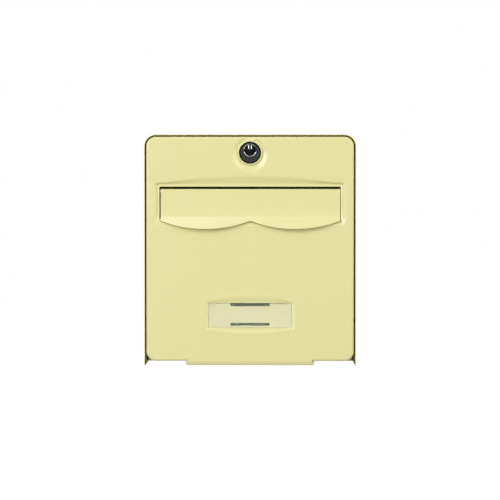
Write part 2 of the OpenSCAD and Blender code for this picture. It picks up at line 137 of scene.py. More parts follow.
def addNoise(tree, detail, scale=None):
    # noise over the piece's own surface; its scale is set here or linked by the caller
    place = tree.nodes.new("ShaderNodeTexCoord")
    noise = tree.nodes.new("ShaderNodeTexNoise")
    noise.inputs["Detail"].default_value = detail
    if scale is not None:
        noise.inputs["Scale"].default_value = scale
    tree.links.new(place.outputs["Object"], noise.inputs["Vector"])
    return noise


wearHighlightAndShade = {
    # where a noise turns from one tone to the other, and how sharp an edge or a corner has to be to show
    "patch": (0.32, 0.68), "patchRoughness": 0.55, "edge": (0.53, 0.62), "corner": (0.47, 0.38),
    "broken": (0.35, 0.65), "brokenLeast": 0.35, "brokenScale": 70,
}


def buildToneGroup():
    # broad, slow changes of tone, as a coat has where it is a little thicker or thinner
    group, source, result = newGroup("slowTone",
        [("Colour", "Color", (0.8, 0.8, 0.8, 1)), ("Second Colour", "Color", (0.7, 0.7, 0.7, 1)),
         ("Patch Scale", "Float", 12.0), ("Amount", "Float", 0.5)],
        [("Colour", "Color"), ("Patch", "Float")])
    noise = addNoise(group, 3)
    noise.inputs["Roughness"].default_value = wearHighlightAndShade["patchRoughness"]
    group.links.new(source.outputs["Patch Scale"], noise.inputs["Scale"])
    patch = addRange(group, noise.outputs["Fac"], *wearHighlightAndShade["patch"])
    share = addMath(group, "MULTIPLY", patch, source.outputs["Amount"])
    mixed = addMix(group, share, source.outputs["Colour"], source.outputs["Second Colour"])
    group.links.new(mixed, result.inputs["Colour"])
    group.links.new(patch, result.inputs["Patch"])
    return group


def buildGrainGroup():
    # fine relief of a sprayed or cast skin, with a scatter of larger marks
    group, source, result = newGroup("fineGrain",
        [("Grain Scale", "Float", 600.0), ("Mark Scale", "Float", 90.0), ("Mark Share", "Float", 0.3)],
        [("Height", "Float")])
    fine, broad = addNoise(group, 2), addNoise(group, 3)
    group.links.new(source.outputs["Grain Scale"], fine.inputs["Scale"])
    group.links.new(source.outputs["Mark Scale"], broad.inputs["Scale"])
    spread = addMath(group, "MULTIPLY", broad.outputs["Fac"], source.outputs["Mark Share"])
    height = addMath(group, "ADD", fine.outputs["Fac"], spread)
    group.links.new(height, result.inputs["Height"])
    return group


def buildEdgeHighlightShadeGroup():
    # outer edges turn lighter, as a thinner, worn coat and as painted highlight, and inner corners turn
    # darker as painted shade
    group, source, result = newGroup("edgeHighlightAndCornerShade",
        [("Colour", "Color", (0.8, 0.8, 0.8, 1)), ("Edge Colour", "Color", (0.9, 0.9, 0.9, 1)),
         ("Corner Colour", "Color", (0.3, 0.3, 0.3, 1)), ("Edge Amount", "Float", 0.5),
         ("Corner Amount", "Float", 0.5)],
        [("Colour", "Color")])
    shape = group.nodes.new("ShaderNodeNewGeometry")
    edge = addRange(group, shape.outputs["Pointiness"], *wearHighlightAndShade["edge"])
    corner = addRange(group, shape.outputs["Pointiness"], *wearHighlightAndShade["corner"])
    noise = addNoise(group, 4, wearHighlightAndShade["brokenScale"])
    broken = addRange(group, noise.outputs["Fac"], *wearHighlightAndShade["broken"], wearHighlightAndShade["brokenLeast"], 1.0)
    brokenEdge = addMath(group, "MULTIPLY", edge, broken)
    brokenCorner = addMath(group, "MULTIPLY", corner, broken)
    edgeShare = addMath(group, "MULTIPLY", brokenEdge, source.outputs["Edge Amount"])
    cornerShare = addMath(group, "MULTIPLY", brokenCorner, source.outputs["Corner Amount"])
    edgeLightened = addMix(group, edgeShare, source.outputs["Colour"], source.outputs["Edge Colour"])
    cornerShaded = addMix(group, cornerShare, edgeLightened, source.outputs["Corner Colour"])
    group.links.new(cornerShaded, result.inputs["Colour"])
    return group


toneGroup = buildToneGroup()
grainGroup = buildGrainGroup()
edgeHighlightShadeGroup = buildEdgeHighlightShadeGroup()


def placeGroup(tree, group, values):
    node = tree.nodes.new("ShaderNodeGroup")
    node.node_tree = group
    for label, value in values.items():
        if hasattr(value, "is_output"):
            tree.links.new(value, node.inputs[label])
        else:
            node.inputs[label].default_value = value
    return node


# finishes; scales are per metre and the bump height is in metres

# edge is each finish's lighter tone on outer edges, partly worn coat and partly painted highlight; corner
# is its darker tone in inner corners, a painted shade
finishes = {
    "creamPaint": {
        "colour": toLinear(229, 223, 161), "second": toLinear(227, 221, 156),
        "patchScale": 9.0, "patchAmount": 0.6,
        "edge": toLinear(238, 233, 180), "corner": toLinear(186, 176, 98), "edgeAmount": 0.3,
        "cornerAmount": 0.3, "roughness": (0.34, 0.42), "metallic": 0.0, "specular": 0.5,
        "coat": 0.7, "coatRoughness": 0.27,
        "grainScale": 520.0, "markScale": 120.0, "markShare": 0.5, "bump": 0.1, "bumpHeight": 0.00012,
    },
    "zincPlate": {
        "colour": toLinear(196, 198, 200), "second": toLinear(170, 172, 176),
        "patchScale": 60.0, "patchAmount": 0.8,
        "edge": toLinear(225, 226, 228), "corner": toLinear(95, 92, 86), "edgeAmount": 0.6,
        "cornerAmount": 0.5, "roughness": (0.28, 0.48), "metallic": 1.0, "specular": 0.5,
        "coat": 0.0, "coatRoughness": 0.3,
        "grainScale": 900.0, "markScale": 160.0, "markShare": 0.6, "bump": 0.15, "bumpHeight": 0.00006,
    },
    "blackLacquer": {
        "colour": toLinear(36, 36, 35), "second": toLinear(50, 48, 50),
        "patchScale": 180.0, "patchAmount": 0.8,
        "edge": toLinear(120, 120, 124), "corner": toLinear(8, 8, 8), "edgeAmount": 0.5,
        "cornerAmount": 0.6, "roughness": (0.3, 0.46), "metallic": 0.0, "specular": 0.25,
        "coat": 0.0, "coatRoughness": 0.3,
        "grainScale": 1400.0, "markScale": 300.0, "markShare": 0.6, "bump": 0.16, "bumpHeight": 0.00005,
    },
    "deepBlack": {
        "colour": toLinear(12, 12, 11), "second": toLinear(20, 20, 19),
        "patchScale": 140.0, "patchAmount": 0.7,
        "edge": toLinear(60, 60, 60), "corner": toLinear(5, 5, 5), "edgeAmount": 0.3,
        "cornerAmount": 0.6, "roughness": (0.24, 0.36), "metallic": 0.0, "specular": 0.05,
        "coat": 0.0, "coatRoughness": 0.3,
        "grainScale": 1400.0, "markScale": 300.0, "markShare": 0.6, "bump": 0.12, "bumpHeight": 0.00004,
    },
    "lockMetal": {
        "colour": toLinear(92, 92, 98), "second": toLinear(64, 63, 69),
        "patchScale": 220.0, "patchAmount": 0.8,
        "edge": toLinear(225, 225, 228), "corner": toLinear(12, 12, 12), "edgeAmount": 0.9,
        "cornerAmount": 0.7, "roughness": (0.2, 0.36), "metallic": 1.0, "specular": 0.5,
        "coat": 0.0, "coatRoughness": 0.3,
        "grainScale": 1600.0, "markScale": 350.0, "markShare": 0.6, "bump": 0.12, "bumpHeight": 0.00004,
    },
    # bright metal for the keyway's guards, and a painted highlight on arcs of the lock's bead
    "brightMetalAndHighlight": {
        "colour": toLinear(222, 223, 220), "second": toLinear(196, 197, 196),
        "patchScale": 260.0, "patchAmount": 0.6,
        "edge": toLinear(240, 240, 238), "corner": toLinear(60, 60, 58), "edgeAmount": 0.4,
        "cornerAmount": 0.4, "roughness": (0.16, 0.28), "metallic": 1.0, "specular": 0.5,
        "coat": 0.0, "coatRoughness": 0.3,
        "grainScale": 1800.0, "markScale": 400.0, "markShare": 0.5, "bump": 0.06, "bumpHeight": 0.00003,
    },
    # a dimmer metal, painted on other arcs of the lock's bead as a dimmer highlight
    "dimHighlightMetal": {
        "colour": toLinear(166, 169, 162), "second": toLinear(140, 143, 138),
        "patchScale": 260.0, "patchAmount": 0.7,
        "edge": toLinear(205, 206, 203), "corner": toLinear(40, 40, 38), "edgeAmount": 0.3,
        "cornerAmount": 0.5, "roughness": (0.24, 0.38), "metallic": 1.0, "specular": 0.5,
        "coat": 0.0, "coatRoughness": 0.3,
        "grainScale": 1800.0, "markScale": 400.0, "markShare": 0.5, "bump": 0.06, "bumpHeight": 0.00003,
    },
    # black rubber for the buffers; the same finish is a near-black painted shade inside the feet and the
    # floor's folds
    "blackRubberAndPaintedShade": {
        "colour": toLinear(42, 42, 43), "second": toLinear(54, 53, 52),
        "patchScale": 80.0, "patchAmount": 0.7,
        "edge": toLinear(84, 83, 81), "corner": toLinear(24, 24, 24), "edgeAmount": 0.4,
        "cornerAmount": 0.4, "roughness": (0.68, 0.84), "metallic": 0.0, "specular": 0.3,
        "coat": 0.0, "coatRoughness": 0.3,
        "grainScale": 1100.0, "markScale": 250.0, "markShare": 0.8, "bump": 0.3, "bumpHeight": 0.0001,
    },
}


def buildFinish(name, look):
    material = bpy.data.materials.new(name)
    material.use_nodes = True
    tree = material.node_tree
    shader = tree.nodes["Principled BSDF"]
    tone = placeGroup(tree, toneGroup, {"Colour": look["colour"], "Second Colour": look["second"],
        "Patch Scale": look["patchScale"], "Amount": look["patchAmount"]})
    edges = placeGroup(tree, edgeHighlightShadeGroup, {"Colour": tone.outputs["Colour"], "Edge Colour": look["edge"],
        "Corner Colour": look["corner"], "Edge Amount": look["edgeAmount"],
        "Corner Amount": look["cornerAmount"]})
    grain = placeGroup(tree, grainGroup, {"Grain Scale": look["grainScale"],
        "Mark Scale": look["markScale"], "Mark Share": look["markShare"]})
    tree.links.new(edges.outputs["Colour"], shader.inputs["Base Color"])
    low, high = look["roughness"]
    tree.links.new(addRange(tree, tone.outputs["Patch"], 0, 1, low, high), shader.inputs["Roughness"])
    shader.inputs["Metallic"].default_value = look["metallic"]
    shader.inputs["Specular IOR Level"].default_value = look["specular"]
    shader.inputs["Coat Weight"].default_value = look["coat"]
    shader.inputs["Coat Roughness"].default_value = look["coatRoughness"]
    bump = tree.nodes.new("ShaderNodeBump")
    bump.inputs["Strength"].default_value = look["bump"]
    bump.inputs["Distance"].default_value = look["bumpHeight"]
    tree.links.new(grain.outputs["Height"], bump.inputs["Height"])
    tree.links.new(bump.outputs["Normal"], shader.inputs["Normal"])
    return material


clearFinishes = {
    "clearPlastic": {"colour": toLinear(252, 253, 251), "second": toLinear(248, 250, 247),
        "patchScale": 40.0, "roughness": (0.1, 0.16), "ior": 1.45, "clear": 0.95},
    "clearFrost": {"colour": toLinear(253, 253, 249), "second": toLinear(250, 251, 245),
        "patchScale": 40.0, "roughness": (0.4, 0.5), "ior": 1.45, "clear": 0.8},
    # the tongues' greenish cut-edge tint, darkened as a painted shade of the clip slots behind them
    "cutEdgeTintAndShade": {"colour": toLinear(112, 132, 84), "second": toLinear(84, 118, 90),
        "patchScale": 40.0, "roughness": (0.2, 0.3), "ior": 1.45, "clear": 0.5},
}


def buildClear(name, look):
    material = bpy.data.materials.new(name)
    material.use_nodes = True
    tree = material.node_tree
    shader = tree.nodes["Principled BSDF"]
    tone = placeGroup(tree, toneGroup, {"Colour": look["colour"], "Second Colour": look["second"],
        "Patch Scale": look["patchScale"], "Amount": 0.5})
    tree.links.new(tone.outputs["Colour"], shader.inputs["Base Color"])
    low, high = look["roughness"]
    tree.links.new(addRange(tree, tone.outputs["Patch"], 0, 1, low, high), shader.inputs["Roughness"])
    shader.inputs["Transmission Weight"].default_value = look["clear"]
    shader.inputs["IOR"].default_value = look["ior"]
    return material


finish = {name: buildFinish(name, look) for name, look in finishes.items()}
finish.update({name: buildClear(name, look) for name, look in clearFinishes.items()})
print("finishes ready:", ", ".join(sorted(finish)))


# pieces

def makePiece(bm, name, node, material, smoothAngle=32):
    # one finished object from a bmesh in metres, standing for a part of the frame
    for face in bm.faces:
        face.smooth = True
    limit, small, muchWider = math.radians(smoothAngle), math.radians(4), 8
    for edge in bm.edges:
        if len(edge.link_faces) != 2:
            continue
        angle = edge.calc_face_angle(0)
        areas = sorted(max(face.calc_area(), 1e-12) for face in edge.link_faces)
        # a wide flat face stays flat beside the narrow strips of its rounded edge
        if angle > limit or (angle > small and areas[1] > muchWider * areas[0]):
            edge.smooth = False
    mesh = bpy.data.meshes.new(name)
    bm.to_mesh(mesh)
    bm.free()
    mesh.materials.append(material)
    piece = bpy.data.objects.new(name, mesh)
    scene.collection.objects.link(piece)
    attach(piece, frame["nodes"][node]["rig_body"])
    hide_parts(node)
    return piece


def joinedCopy(node):
    # the part's own shape as one joined mesh with plain flat faces
    bm = bmesh.new()
    bm.from_mesh(frame["nodes"][node].data)
    bmesh.ops.remove_doubles(bm, verts=bm.verts, dist=0.002 * mm)
    bmesh.ops.dissolve_limit(bm, angle_limit=math.radians(0.4), verts=bm.verts, edges=bm.edges)
    return bm


def roundEdges(bm, width, segments=2, angle=38):
    sharp = [e for e in bm.edges if len(e.link_faces) == 2 and e.calc_face_angle(0) > math.radians(angle)]
    bmesh.ops.bevel(bm, geom=sharp, offset=width * mm, offset_type="OFFSET", segments=segments,
        profile=0.5, affect="EDGES", clamp_overlap=True, material=-1)


def cutAcross(bm, place, direction):
    bmesh.ops.bisect_plane(bm, geom=bm.verts[:] + bm.edges[:] + bm.faces[:], dist=1e-6,
        plane_co=Vector(place) * mm, plane_no=direction)


def refinish(piece, finishName, isPart, everyCorner=False):
    # a second finish on the faces that isPart picks by their centre, or by every corner, in mm
    piece.data.materials.append(finish[finishName])
    last = len(piece.data.materials) - 1
    for face in piece.data.polygons:
        places = [piece.data.vertices[i].co for i in face.vertices] if everyCorner else [face.center]
        if all(isPart(place / mm, face.normal) for place in places):
            face.material_index = last


refined = {
    # part: slot, finish, edge radius
    "casing_wrap": ("cream_paint", "creamPaint", 0.22),
    "floor_pan": ("cream_paint", "creamPaint", 0.2),
    "back_panel": ("cream_paint", "creamPaint", 0.2),
    "rebate_frame": ("cream_paint", "creamPaint", 0.2),
    "hinge_bracket": ("cream_paint", "creamPaint", 0.25),
    "lock_collar": ("cream_paint", "creamPaint", 0.2),
    "letter_flap": ("cream_paint", "creamPaint", 0.42),
    "door_buffers": ("black_rubber", "blackRubberAndPaintedShade", 0.2),
    "flap_buffers": ("black_rubber", "blackRubberAndPaintedShade", 0.15),
    "hinge_pin": ("zinc_plate", "zincPlate", 0.2),
    "hinge_pin_caps": ("zinc_plate", "zincPlate", 0.25),
    "flap_rod": ("zinc_plate", "zincPlate", 0.15),
    "lock_clip": ("zinc_plate", "zincPlate", 0.15),
    "lock_cam": ("zinc_plate", "zincPlate", 0.2),
    "cam_washer": ("zinc_plate", "zincPlate", 0.1),
    "cam_screw": ("zinc_plate", "zincPlate", 0.12),
    "lock_housing": ("black_lacquer", "blackLacquer", 0.2),
    "lock_core": ("lock_metal", "lockMetal", 0.22),
    "name_plate_cover": ("clear_plastic", "clearPlastic", 0.3),
}
collar = {"z": 131.0, "beyond": 16.0, "shrink": 1.0}  # leaves a narrow shadow round the collar
paintedFootShade = {"top": -146.0, "back": -344.0, "under": -150.6}  # where the inner faces of the feet and of the floor's folds get a near-black painted shade


def shrinkCollar(bm):
    for v in bm.verts:
        out = Vector((v.co.x, 0, v.co.z - collar["z"] * mm))
        if out.length > collar["beyond"] * mm:
            v.co -= out.normalized() * collar["shrink"] * mm


def buildRefined():
    # every part but the door: the frame's own shape with rounded edges and a finish
    made = {}
    for node, (slotName, finishName, radius) in refined.items():
        bm = joinedCopy(node)
        if node == "lock_collar":
            shrinkCollar(bm)
        roundEdges(bm, radius)
        if node == "casing_wrap":
            # the casing is cut where its painted shade inside the feet begins and ends
            cutAcross(bm, (0, 0, paintedFootShade["top"]), (0, 0, 1))
            cutAcross(bm, (0, paintedFootShade["back"], 0), (0, 1, 0))
            cutAcross(bm, (0, 0, paintedFootShade["under"]), (0, 0, 1))
        words = node.split("_")
        name = words[0] + "".join(word.capitalize() for word in words[1:])
        made[node] = makePiece(bm, name, node, finish[finishName])
        print("piece", name, len(made[node].data.polygons), "faces")
    return made


parts = buildRefined()


def isPaintedFootShade(place, normal):
    if place.x * normal.x >= 0 or abs(normal.x) <= 0.9:
        return False
    return place.z < paintedFootShade["under"] or (place.z < paintedFootShade["top"] and place.y < paintedFootShade["back"])


def isPaintedFoldShade(place, normal):
    return place.z < paintedFootShade["under"] and place.x * normal.x < 0 and abs(normal.x) > 0.5


# near-black painted shade on the unlit inner faces of the feet and of the floor's folds
refinish(parts["casing_wrap"], "blackRubberAndPaintedShade", isPaintedFootShade)
refinish(parts["floor_pan"], "blackRubberAndPaintedShade", isPaintedFoldShade)

lockFace = {
    "z": 131.0, "barrelY": -360.0, "fieldRadius": 13.0,
    "coreZ": 134.4, "beadY": -362.42, "beadIn": 7.72, "beadOut": 8.7,
    # the bead gets a painted highlight of bright metal on some arcs, a dimmer painted highlight on others,
    # and stays black between them, in degrees
    "highlightArcs": ((-165, -105), (-75, -15)), "dimHighlightArcs": ((-105, -75), (35, 85), (95, 172)),
    "coreY": -362.6, "coreAhead": 0.3, "coreBehind": 0.5, "coreRaised": 0.05,
    "barIn": 1.1, "barOut": 2.9, "barReach": 7.5,
}


def fromCore(place):
    return math.hypot(place.x, place.z - lockFace["coreZ"])


def isBead(place, arcs):
    if place.y > lockFace["beadY"] or not lockFace["beadIn"] < fromCore(place) < lockFace["beadOut"]:
        return False
    angle = math.degrees(math.atan2(place.z - lockFace["coreZ"], place.x))
    return any(start < angle < end for start, end in arcs)


def isBeadHighlight(place, normal):
    return isBead(place, lockFace["highlightArcs"])


def isBeadDimHighlight(place, normal):
    return isBead(place, lockFace["dimHighlightArcs"])


def isFaceRim(place, normal):
    outward = math.hypot(place.x, place.z - lockFace["z"])
    return place.y < lockFace["barrelY"] and outward > lockFace["fieldRadius"]


def isCoreFace(place, normal):
    s = lockFace
    return s["coreY"] - s["coreAhead"] < place.y < s["coreY"] + s["coreBehind"]


def isCoreBar(place, normal):
    raised = place.y < lockFace["coreY"] - lockFace["coreRaised"]
    beside = lockFace["barIn"] < abs(place.x) < lockFace["barOut"]
    return raised and beside and fromCore(place) < lockFace["barReach"]


# painted highlights on arcs of the bead round the plug; the rest of the bead stays black
refinish(parts["lock_housing"], "brightMetalAndHighlight", isBeadHighlight)
refinish(parts["lock_housing"], "dimHighlightMetal", isBeadDimHighlight)
refinish(parts["lock_housing"], "deepBlack", isFaceRim, everyCorner=True)
refinish(parts["lock_core"], "deepBlack", isCoreFace)
refinish(parts["lock_core"], "brightMetalAndHighlight", isCoreBar)

coverBack = {"y": -358.0, "near": 0.02, "tongueHalf": 26.4}  # the cover's matt back face and its tongues


def isCoverBack(place, normal):
    return abs(place.y - coverBack["y"]) < coverBack["near"] and normal.y > 0.9


def isTongue(place, normal):
    return place.y > coverBack["y"] + coverBack["near"] and abs(place.x) < coverBack["tongueHalf"]


refinish(parts["name_plate_cover"], "clearFrost", isCoverBack)
# the tongues show a cut-edge tint darkened into painted shade of the clip slots
refinish(parts["name_plate_cover"], "cutEdgeTintAndShade", isTongue)
print("second finishes set")


# the pressed door: a flat grid pushed into shape, with its edges folded ring by ring

door = {
    "width": 279.0, "low": -149.0, "top": 152.5, "face": -361.5, "sheet": 1.0, "cutEdge": 0.18,
    "cornerRadius": 13.0, "bendRadius": 3.0, "depth": 18.0, "bendSteps": 7, "cornerSteps": 14,
}
knuckle = {
    "half": 83.5, "reliefHalf": 83.85, "pinY": -358.95, "pinZ": -152.15, "radius": 2.55,
    "top": -148.4, "power": 1.3, "turn": 307, "quarter": 14, "steps": 34,
}
letterSlot = {
    "half": 121.7, "low": 42.2, "top": 85.3, "fold": 0.8, "foldSteps": 5, "flange": 15.0,
    "recessDepth": 3.4, "recessHalf": 129.4, "chord": 88.7, "rise": 12.5, "narrowest": 2.6,
    "lowStart": 33.0, "lowEnd": 41.2, "sideRamp": 6.8, "soft": (0.42, 0.22), "sideBlend": 0.9,
}
lockDish = {
    "z": 131.0, "drop": 4.2, "faceRadius": 24.5, "floorRadius": 18.2, "depth": 2.0, "soft": (0.7, 0.25),
    "boreZ": 134.4, "boreRadius": 9.5, "boreHalf": 8.1,
}
platePress = {
    "z": -87.7, "half": 56.0, "halfHeight": 16.9, "corner": 1.5, "pocketDepth": 3.65,
    "rampDepth": 1.2, "rim": 0.3, "outerHalf": 67.0, "outerTop": 17.5, "outerLow": 17.0,
    "innerHalf": 61.0, "innerTop": 10.0, "innerLow": 8.5, "floorMargin": 1.0, "cornerBlend": 0.5,
    "riseSoft": (0.5, 0.4), "fallSoft": (0.55, 0.3), "wallSoft": (0.35, 0.35), "wall": 0.7,
    "narrowRise": 2.0, "narrowFall": 2.2,
    "clipHalf": 26.3, "clipTop": (-75.3, -71.3), "clipLow": (-101.4, -97.8),
}


def recessDepth(x, z):
    # the lens-shaped recess behind the letter flap
    s = letterSlot
    arc = s["chord"] + max(s["narrowest"], s["rise"] * (1 - (x / s["recessHalf"]) ** 2))
    fromTop = (arc - z) / (arc - s["chord"])
    fromSide = (s["recessHalf"] - abs(x)) / s["sideRamp"]
    fromLow = (z - s["lowStart"]) / (s["lowEnd"] - s["lowStart"])
    share = blendedLow(blendedLow(fromTop, fromLow, 0.1), fromSide, s["sideBlend"])
    return s["recessDepth"] * pressProfile(share, *s["soft"])


def dishDepth(x, z):
    # the dish round the lock, wider below than above
    s = lockDish
    q = z - (s["z"] - s["drop"])
    a = s["faceRadius"] - s["floorRadius"]
    second = s["drop"] ** 2 - a * a
    first = -2 * q * s["drop"] + 2 * s["faceRadius"] * a
    last = x * x + q * q - s["faceRadius"] ** 2
    if last >= 0:
        return 0.0
    # the share of the way from the face circle to the floor circle that passes through the point
    if abs(second) < 1e-6:
        share = -last / first
    else:
        share = (-first + math.sqrt(max(first * first - 4 * second * last, 0))) / (2 * second)
    return s["depth"] * pressProfile(share, *s["soft"])


def boxDistance(halfX, middle, halfZ, radius):
    # the distance to a rectangle with round corners, below 0 inside
    def distance(x, z):
        across, up = abs(x) - (halfX - radius), abs(z - middle) - (halfZ - radius)
        return math.hypot(max(across, 0), max(up, 0)) + min(max(across, up), 0) - radius
    return distance


def lensShare(x, z, outer, inner, narrowest):
    # how far a point is from one lens-shaped outline, 0, to the one inside it, 1
    def edge(lens, side):
        half, top, low = lens
        bulge = max(1 - (x / half) ** 2, 0)
        return platePress["halfHeight"] + (top if side > 0 else low) * bulge
    fromEnds = []
    for side in (1, -1):
        far, near = edge(outer, side), edge(inner, side)
        far = max(far, near + narrowest)
        fromEnds.append((far - side * z) / (far - near))
    fromSide = (outer[0] - abs(x)) / (outer[0] - inner[0])
    return blendedLow(fromSide, min(fromEnds), platePress["cornerBlend"])


def plateDepth(x, z):
    # the raised rim, the ramp and the pocket of the name plate
    s = platePress
    z = z - s["z"]
    outer = (s["outerHalf"], s["outerTop"], s["outerLow"])
    inner = (s["innerHalf"], s["innerTop"], s["innerLow"])
    bottom = (s["half"] + s["floorMargin"], s["floorMargin"], s["floorMargin"])
    rise = lensShare(x, z, outer, inner, s["narrowRise"])
    if rise <= 0:
        return 0.0
    fall = lensShare(x, z, inner, bottom, s["narrowFall"])
    inside = -boxDistance(s["half"], 0, s["halfHeight"], s["corner"])(x, z) / s["wall"]
    depth = -s["rim"] * pressProfile(rise, *s["riseSoft"])
    depth += (s["rampDepth"] + s["rim"]) * pressProfile(fall, *s["fallSoft"])
    return depth + (s["pocketDepth"] - s["rampDepth"]) * pressProfile(inside, *s["wallSoft"])


def boreDistance(x, z):
    # the lock's hole: round with two flat sides
    s = lockDish
    return max(math.hypot(x, z - s["boreZ"]) - s["boreRadius"], abs(x) - s["boreHalf"])


def stations(stops):
    # places between stops; each stop gives a place and the step to the next one
    places = []
    for (start, step), (end, _) in zip(stops, stops[1:]):
        count = max(1, round((end - start) / step))
        places += [start + (end - start) * i / count for i in range(count)]
    return places + [stops[-1][0]]


def acrossDoor():
    # the grid's places from side to side, closer together where the sheet bends
    p, s = platePress, letterSlot
    half = stations([(0, 1.5), (p["clipHalf"], 2.2), (p["half"] - 0.9, 0.3), (p["half"] + 0.3, 1.2),
        (p["outerHalf"] + 1, 2.6), (knuckle["half"], 0.8), (knuckle["reliefHalf"], 3.0),
        (s["half"] - 3.7, 2.0), (s["half"] + s["fold"], 0.75), (s["recessHalf"] + 0.6, 2.2),
        (door["width"] / 2 - door["bendRadius"], 1)])
    return [-value for value in reversed(half[1:])] + half


def upDoor():
    # the same from the lower edge to the top
    p, s = platePress, letterSlot
    plateLow, plateTop = p["z"] - p["halfHeight"], p["z"] + p["halfHeight"]
    return stations([(door["low"] + door["bendRadius"], 3.4), (plateLow - p["outerLow"] - 0.9, 1.3),
        (plateLow - 0.3, 0.3), (plateLow + 0.9, 1.1), (p["clipLow"][0], 1.2), (p["clipLow"][1], 1.6),
        (p["clipTop"][0], 1.3), (p["clipTop"][1] - 0.6, 0.3), (p["clipTop"][1], 0.26),
        (plateTop + 0.3, 1.2), (plateTop + p["outerTop"] + 0.8, 4.2), (s["lowStart"] - 0.5, 1.0),
        (s["low"] - s["fold"], 3.6), (s["top"] + s["fold"], 0.75), (s["chord"] + 3, 1.0),
        (s["chord"] + s["rise"] + 1.8, 1.1), (lockDish["z"] + 16, 1.1),
        (door["top"] - door["bendRadius"], 1)])


def buildFace():
    # the flat face inside the fold, with round corners made by one straight cut after another
    xPlaces, zPlaces = acrossDoor(), upDoor()
    columns, rows = len(xPlaces) - 1, len(zPlaces) - 1
    bm = bmesh.new()
    bmesh.ops.create_grid(bm, x_segments=columns, y_segments=rows, size=1.0)
    for v in bm.verts:
        column, row = round((v.co.x + 1) / 2 * columns), round((v.co.y + 1) / 2 * rows)
        v.co = Vector((xPlaces[column], 0, zPlaces[row]))
    radius = door["cornerRadius"] - door["bendRadius"]
    for sideX in (1, -1):
        for sideZ, end in ((1, zPlaces[-1]), (-1, zPlaces[0])):
            centre = Vector((sideX * (xPlaces[-1] - radius), 0, end - sideZ * radius))
            for i in range(door["cornerSteps"]):
                angle = math.radians(90) * (i + 0.5) / door["cornerSteps"]
                out = Vector((sideX * math.cos(angle), 0, sideZ * math.sin(angle)))
                bmesh.ops.bisect_plane(bm, geom=bm.verts[:] + bm.edges[:] + bm.faces[:], dist=1e-5,
                    plane_co=centre + out * radius, plane_no=out, clear_outer=True)
    return bm


def cutHole(bm, distance, reach):
    # removes the faces inside an outline and draws the edge of the hole onto it, as far as reach
    step = 0.01
    gone = [f for f in bm.faces if distance(*f.calc_center_median().xz) < 0]
    bmesh.ops.delete(bm, geom=gone, context="FACES")
    for v in bm.verts:
        if not v.is_boundary:
            continue
        x, z = v.co.x, v.co.z
        d = distance(x, z)
        if abs(d) > reach:
            continue
        slopeX = (distance(x + step, z) - distance(x - step, z)) / (2 * step)
        slopeZ = (distance(x, z + step) - distance(x, z - step)) / (2 * step)
        v.co.x -= d * slopeX
        v.co.z -= d * slopeZ


def cutHoles(bm):
    # gives back the edges round the face and those round the letter slot
    s, p = letterSlot, platePress
    rim = [e for e in bm.edges if e.is_boundary]
    middle, halfHeight = (s["low"] + s["top"]) / 2, (s["top"] - s["low"]) / 2
    cutHole(bm, boxDistance(s["half"] + s["fold"], middle, halfHeight + s["fold"], 0.01), 0)
    known = set(rim)
    slotRim = [e for e in bm.edges if e.is_boundary and e not in known]
    cutHole(bm, boreDistance, 0.9)
    for low, top in (p["clipTop"], p["clipLow"]):
        cutHole(bm, boxDistance(p["clipHalf"], (low + top) / 2, (top - low) / 2, 0.01), 0)
    return rim, slotRim


def extrudeRing(bm, edges, move, *amounts):
    # one more ring of faces from the edges; move gives each new vertex its place from the old one
    grown = bmesh.ops.extrude_edge_only(bm, edges=edges)["geom"]
    for v in [g for g in grown if isinstance(g, bmesh.types.BMVert)]:
        v.co = move(v.co.copy(), *amounts)
    return [g for g in grown if isinstance(g, bmesh.types.BMEdge)]


def quarterSteps(radius, count):
    # how far each ring of a quarter round goes outward and back from the one before
    angles = [math.radians(90) * i / count for i in range(count + 1)]
    return [(radius * (math.sin(b) - math.sin(a)), radius * (math.cos(a) - math.cos(b)))
        for a, b in zip(angles, angles[1:])]


def outlineNormal(x, z):
    # outward direction at a point on the edge of the flat face, which has round corners
    half = door["width"] / 2 - door["cornerRadius"]
    high = door["top"] - door["cornerRadius"]
    low = door["low"] + door["cornerRadius"]
    across = max(abs(x) - half, 0)
    up = max(z - high, 0) - max(low - z, 0)
    length = math.hypot(across, up)
    return (math.copysign(across, x) / length, up / length)


def outAndBack(place, grow, back):
    nx, nz = outlineNormal(place.x, place.z)
    return place + Vector((nx * grow, back, nz * grow))


def intoSlot(place, grow, back):
    s = letterSlot
    near = s["fold"] + 0.01
    atSide = abs(abs(place.x) - s["half"]) < near
    atEnd = min(abs(place.z - s["low"]), abs(place.z - s["top"])) < near
    x = place.x - math.copysign(grow, place.x) * atSide
    z = place.z - math.copysign(grow, place.z - (s["low"] + s["top"]) / 2) * atEnd
    return Vector((x, place.y + back, z))


def toLine(place, y, z):
    return Vector((place.x, y, z))


def isLowEdge(edge, half):
    # an edge of the face's lower side, no further than half from the middle
    low, near = door["low"] + door["bendRadius"], 0.01
    return all(abs(v.co.z - low) < near and abs(v.co.x) < half + near for v in edge.verts)


def rollKnuckle(bm, ring):
    # an easy curve down and back to the lowest point, then a round roll about the hinge pin
    k = knuckle
    ring = extrudeRing(bm, ring, toLine, door["face"], k["top"])
    drop = k["top"] - k["pinZ"] + k["radius"]
    for i in range(1, k["steps"] + 1):
        if i <= k["quarter"]:
            angle = math.radians(90) * i / k["quarter"]
            y = k["pinY"] - k["radius"] * max(math.cos(angle), 0) ** k["power"]
            z = k["top"] - drop * math.sin(angle) ** k["power"]
        else:
            share = (i - k["quarter"]) / (k["steps"] - k["quarter"])
            angle = math.radians(90 + (k["turn"] - 90) * share)
            y = k["pinY"] - k["radius"] * math.cos(angle)
            z = k["pinZ"] - k["radius"] * math.sin(angle)
        ring = extrudeRing(bm, ring, toLine, y, z)


